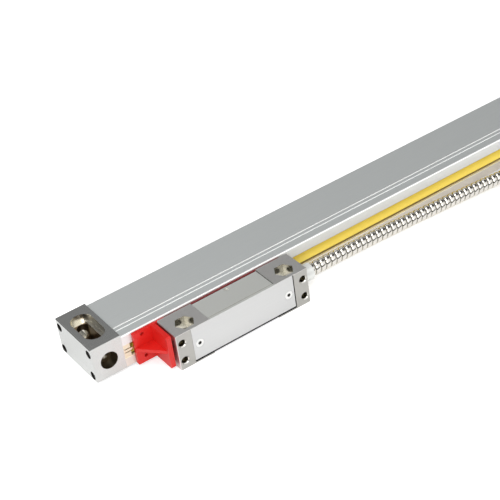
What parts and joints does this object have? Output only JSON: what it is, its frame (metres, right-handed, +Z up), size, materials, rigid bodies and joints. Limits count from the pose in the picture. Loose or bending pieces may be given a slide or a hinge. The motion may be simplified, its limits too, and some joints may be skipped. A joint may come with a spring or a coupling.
{
  "type": "linear glass scale",
  "caption": "Sealed linear encoder: an aluminium housing with a glass scale inside, a reading head that slides along its lip seal, and an armoured conduit with a connector.",
  "frame": {"origin": "middle of the scale's base face, on the standing side of the housing and its end blocks", "axes": "+X along the scale, from the end with the reading head towards the conduit; +Y from the slit side to the back; +Z up from the base"},
  "size_m": [0.6, 0.0845, 0.039],
  "materials": {
    "housing_aluminium": "satin",
    "graduated_glass": "gloss",
    "black_rubber": "matte",
    "yellow_lip": "matte",
    "clip_metal": "satin",
    "block_metal": "satin",
    "screw_steel": "satin",
    "head_metal": "satin",
    "cover_metal": "satin",
    "carriage_metal": "matte",
    "bearing_steel": "polished",
    "lamp_body": "gloss",
    "board_green": "satin",
    "chip_black": "matte",
    "lead_amber": "satin",
    "wire_grey": "matte",
    "bracket_red": "satin",
    "bright_steel": "satin",
    "conduit_steel": "satin",
    "tie_black": "matte",
    "hood_metal": "satin",
    "insulator_black": "matte",
    "pin_gold": "polished"
  },
  "bodies": {
    "scale": {"scale_housing": "housing_aluminium", "glass_scale": "graduated_glass", "glass_retaining_strip": "black_rubber", "upper_lip_seal": "yellow_lip", "lower_lip_seal": "yellow_lip", "lip_end_clips": "clip_metal", "left_end_block": "block_metal", "right_end_block": "block_metal", "left_end_gasket": "black_rubber", "right_end_gasket": "black_rubber", "left_end_screws": "screw_steel", "right_end_screws": "screw_steel", "end_buffers": "black_rubber"},
    "reading_head": {"head_body": "head_metal", "cover_gasket": "black_rubber", "cover_plate": "cover_metal", "cover_screws": "screw_steel", "coupling_arm": "clip_metal", "arm_screws": "screw_steel", "scanning_carriage": "carriage_metal", "led_light_source": "lamp_body", "collimator_lens": "graduated_glass", "photocell_board": "board_green", "index_reticle": "graduated_glass", "roller_axles": "screw_steel", "scan_lead": "lead_amber", "signal_board": "board_green", "board_components": "chip_black", "board_screws": "screw_steel", "signal_wires": "wire_grey", "setting_bracket": "bracket_red", "conduit_ferrule": "bright_steel", "conduit_run": "conduit_steel", "conduit_hank": "conduit_steel", "hank_ties": "tie_black", "conduit_tail": "conduit_steel", "connector_ferrule": "bright_steel", "connector_hood_upper": "hood_metal", "connector_hood_lower": "hood_metal", "hood_screws": "screw_steel", "connector_shell": "bright_steel", "connector_insulator": "insulator_black", "connector_pins": "pin_gold"},
    "roller_1": {"guide_roller_1": "bearing_steel"},
    "roller_2": {"guide_roller_2": "bearing_steel"},
    "roller_3": {"guide_roller_3": "bearing_steel"},
    "roller_4": {"guide_roller_4": "bearing_steel"},
    "roller_5": {"guide_roller_5": "bearing_steel"},
    "front_thumbscrew": {"front_thumbscrew": "bright_steel"},
    "back_thumbscrew": {"back_thumbscrew": "bright_steel"}
  },
  "joints": [
    {"name": "head_slide", "type": "slide", "parent": "scale", "child": "reading_head", "axis": [1, 0, 0], "range_m": [-0.0122, 0.2078]},
    {"name": "roller_1_spin", "type": "hinge", "parent": "reading_head", "child": "roller_1", "pos_m": [-0.1198, -0.00195, 0.0144], "axis": [0, 1, 0], "continuous": true},
    {"name": "roller_2_spin", "type": "hinge", "parent": "reading_head", "child": "roller_2", "pos_m": [-0.0758, -0.00195, 0.0144], "axis": [0, 1, 0], "continuous": true},
    {"name": "roller_3_spin", "type": "hinge", "parent": "reading_head", "child": "roller_3", "pos_m": [-0.0978, 0.00865, 0.0144], "axis": [0, 1, 0], "continuous": true},
    {"name": "roller_4_spin", "type": "hinge", "parent": "reading_head", "child": "roller_4", "pos_m": [-0.1118, -0.009, 0.01035], "axis": [0, 0, 1], "continuous": true},
    {"name": "roller_5_spin", "type": "hinge", "parent": "reading_head", "child": "roller_5", "pos_m": [-0.0838, -0.009, 0.01035], "axis": [0, 0, 1], "continuous": true},
    {"name": "front_thumbscrew_turn", "type": "hinge", "parent": "reading_head", "child": "front_thumbscrew", "pos_m": [0.259, -0.00045, 0.02885], "axis": [1, 0, 0], "continuous": true},
    {"name": "back_thumbscrew_turn", "type": "hinge", "parent": "reading_head", "child": "back_thumbscrew", "pos_m": [0.259, 0.02455, 0.02885], "axis": [1, 0, 0], "continuous": true}
  ],
  "couplings": [
    {"joint": "roller_1_spin", "follows": "head_slide", "rad_per_m": 333.33},
    {"joint": "roller_2_spin", "follows": "head_slide", "rad_per_m": 333.33},
    {"joint": "roller_3_spin", "follows": "head_slide", "rad_per_m": 333.33},
    {"joint": "roller_4_spin", "follows": "head_slide", "rad_per_m": 333.33},
    {"joint": "roller_5_spin", "follows": "head_slide", "rad_per_m": 333.33}
  ]
}
